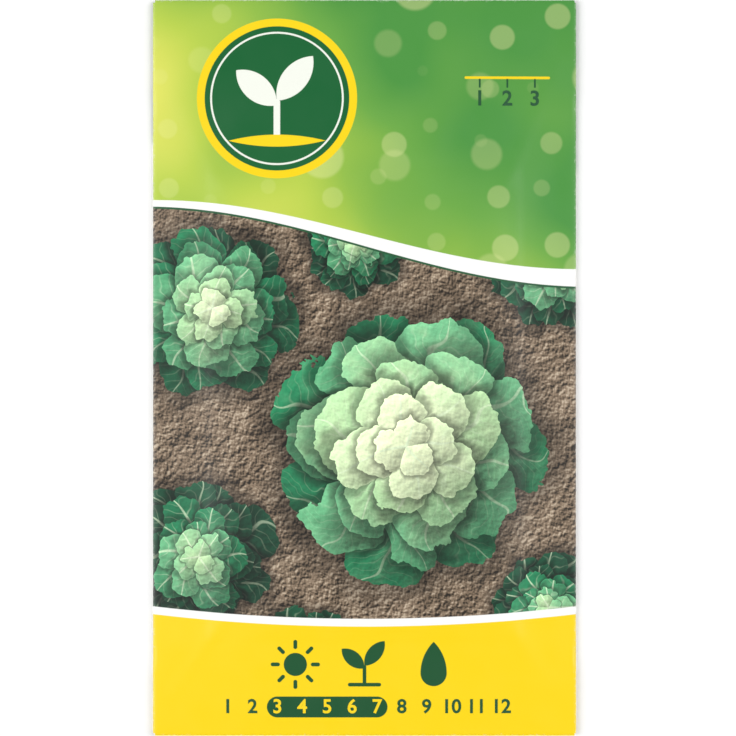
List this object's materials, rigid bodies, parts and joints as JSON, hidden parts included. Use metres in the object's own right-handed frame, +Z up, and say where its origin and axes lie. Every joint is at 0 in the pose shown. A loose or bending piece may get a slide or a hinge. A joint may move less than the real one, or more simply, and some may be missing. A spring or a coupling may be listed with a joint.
{
  "type": "seed packet",
  "caption": "Flat folded and glued paper seed packet, lying on its back, holding a foil sachet with a heap of small round seeds.",
  "frame": {"origin": "under the middle of the packet, on the surface that it lies on", "axes": "+Y along the packet's height towards its top edge, +X across its front to the right, +Z up out of the printed front"},
  "size_m": [0.092, 0.16, 0.0051],
  "materials": {
    "printed_paper": "satin coated paper, printed in greens, yellow, white and brown",
    "foil_laminate": "satin aluminium laminate",
    "seed_coat": "matt dark brown seed coat"
  },
  "bodies": {
    "root": {"paper_packet": "printed_paper", "inner_sachet": "foil_laminate", "kohlrabi_seeds": "seed_coat"}
  },
  "joints": []
}
